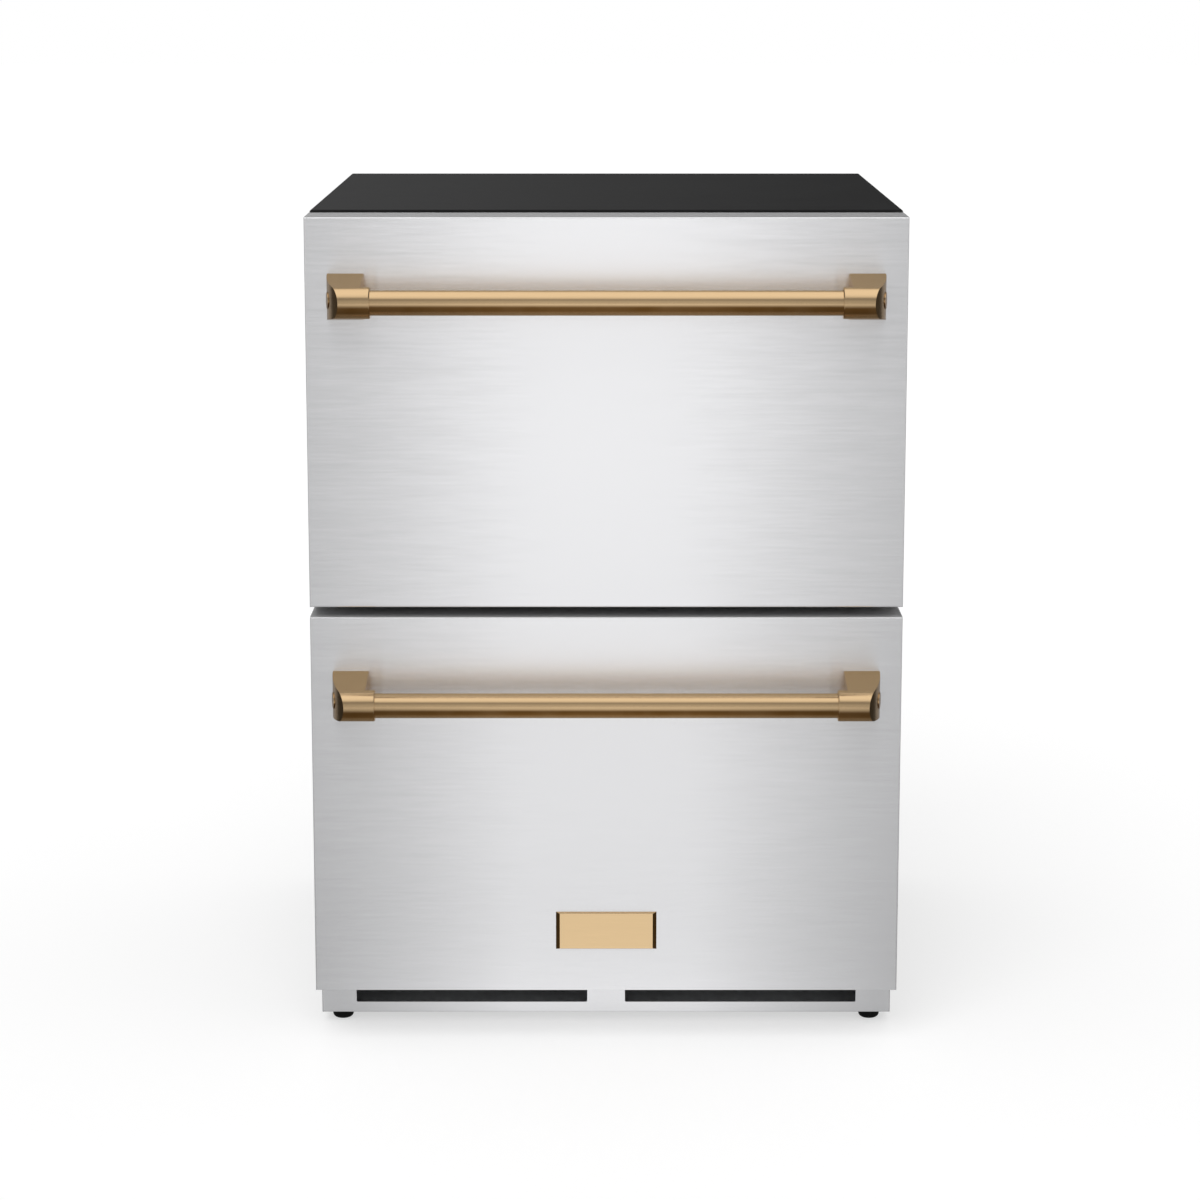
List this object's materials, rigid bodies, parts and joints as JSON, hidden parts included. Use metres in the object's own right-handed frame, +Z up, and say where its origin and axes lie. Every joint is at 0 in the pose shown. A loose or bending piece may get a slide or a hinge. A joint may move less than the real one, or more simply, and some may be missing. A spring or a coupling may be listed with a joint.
{
  "type": "drawer freezer",
  "caption": "Under-counter freezer with full-width insulated drawers on telescopic slides, bar handles, a slotted air plinth and levelling feet.",
  "frame": {"origin": "on the floor under the feet, under the middle of the whole object including its handles", "axes": "+Z up, the drawer fronts face -Y, +X to the right as seen from the front"},
  "size_m": [0.603, 0.6778, 0.864],
  "materials": {
    "cabinet_black": "matte",
    "zinc_sheet": "satin",
    "front_steel": "satin",
    "handle_brass": "satin",
    "liner_white": "satin",
    "bin_white": "gloss",
    "foam": "matte",
    "gasket_grey": "matte",
    "slide_zinc": "satin",
    "screw_steel": "satin",
    "foot_black": "matte",
    "rubber_black": "matte",
    "compressor_black": "satin",
    "coil_aluminium": "satin",
    "pipe_copper": "satin",
    "fan_black": "matte",
    "motor_steel": "satin",
    "tray_grey": "matte",
    "display_black": "gloss",
    "lamp_white": "matte"
  },
  "bodies": {
    "cabinet": {"air_divider": "zinc_sheet", "base_pan": "zinc_sheet", "cabinet_insulation": "foam", "cabinet_wrap": "cabinet_black", "compressor": "compressor_black", "compressor_grommets": "rubber_black", "condenser": "coil_aluminium", "condenser_fan_motor": "motor_steel", "condenser_fan_shroud": "fan_black", "control_box": "fan_black", "control_display": "display_black", "drain_tray": "tray_grey", "drain_tube": "tray_grey", "evaporator": "coil_aluminium", "evaporator_cover": "liner_white", "evaporator_fan_motor": "motor_steel", "face_frame": "cabinet_black", "freezer_liner": "liner_white", "lead_bushing": "rubber_black", "light_strip": "lamp_white", "lower_slide_rails": "slide_zinc", "mullion": "liner_white", "panel_screws": "screw_steel", "plinth": "front_steel", "rear_cover": "cabinet_black", "rear_panel": "zinc_sheet", "refrigerant_pipes": "pipe_copper", "underside_panel": "zinc_sheet", "upper_slide_rails": "slide_zinc"},
    "upper_drawer": {"upper_door_skin": "front_steel", "upper_door_liner": "liner_white", "upper_door_foam": "foam", "upper_gasket": "gasket_grey", "upper_handle_bar": "handle_brass", "upper_handle_brackets": "handle_brass", "upper_handle_caps": "handle_brass", "upper_handle_screws": "screw_steel", "upper_drawer_frame": "slide_zinc", "upper_slide_inners": "slide_zinc", "upper_bin": "bin_white"},
    "upper_slide_middles": {"upper_slide_middles": "slide_zinc"},
    "lower_drawer": {"lower_door_skin": "front_steel", "lower_door_liner": "liner_white", "lower_door_foam": "foam", "lower_gasket": "gasket_grey", "lower_handle_bar": "handle_brass", "lower_handle_brackets": "handle_brass", "lower_handle_caps": "handle_brass", "lower_handle_screws": "screw_steel", "lower_drawer_frame": "slide_zinc", "lower_slide_inners": "slide_zinc", "lower_bin": "bin_white", "name_plate": "handle_brass"},
    "lower_slide_middles": {"lower_slide_middles": "slide_zinc"},
    "condenser_fan": {"condenser_fan": "fan_black"},
    "evaporator_fan": {"evaporator_fan": "fan_black"},
    "foot_front_left": {"foot_front_left": "foot_black"},
    "foot_front_right": {"foot_front_right": "foot_black"},
    "foot_rear_left": {"foot_rear_left": "foot_black"},
    "foot_rear_right": {"foot_rear_right": "foot_black"}
  },
  "joints": [
    {"name": "upper_drawer_slide", "type": "slide", "parent": "cabinet", "child": "upper_drawer", "axis": [0, -1, 0], "range_m": [0, 0.39]},
    {"name": "upper_middle_slide", "type": "slide", "parent": "cabinet", "child": "upper_slide_middles", "axis": [0, -1, 0], "range_m": [0, 0.195]},
    {"name": "lower_drawer_slide", "type": "slide", "parent": "cabinet", "child": "lower_drawer", "axis": [0, -1, 0], "range_m": [0, 0.39]},
    {"name": "lower_middle_slide", "type": "slide", "parent": "cabinet", "child": "lower_slide_middles", "axis": [0, -1, 0], "range_m": [0, 0.195]},
    {"name": "condenser_fan_spin", "type": "hinge", "parent": "cabinet", "child": "condenser_fan", "pos_m": [0.1233, 0.24238, 0.0925], "axis": [1, 0, 0], "continuous": true},
    {"name": "evaporator_fan_spin", "type": "hinge", "parent": "cabinet", "child": "evaporator_fan", "pos_m": [0, 0.22537, 0.69], "axis": [0, 1, 0], "continuous": true},
    {"name": "foot_front_left_height", "type": "slide", "parent": "cabinet", "child": "foot_front_left", "axis": [0, 0, 1], "range_m": [-0.02, 0]},
    {"name": "foot_front_right_height", "type": "slide", "parent": "cabinet", "child": "foot_front_right", "axis": [0, 0, 1], "range_m": [-0.02, 0]},
    {"name": "foot_rear_left_height", "type": "slide", "parent": "cabinet", "child": "foot_rear_left", "axis": [0, 0, 1], "range_m": [-0.02, 0]},
    {"name": "foot_rear_right_height", "type": "slide", "parent": "cabinet", "child": "foot_rear_right", "axis": [0, 0, 1], "range_m": [-0.02, 0]}
  ],
  "couplings": [
    {"joint": "upper_middle_slide", "follows": "upper_drawer_slide", "ratio": 0.5},
    {"joint": "lower_middle_slide", "follows": "lower_drawer_slide", "ratio": 0.5}
  ]
}
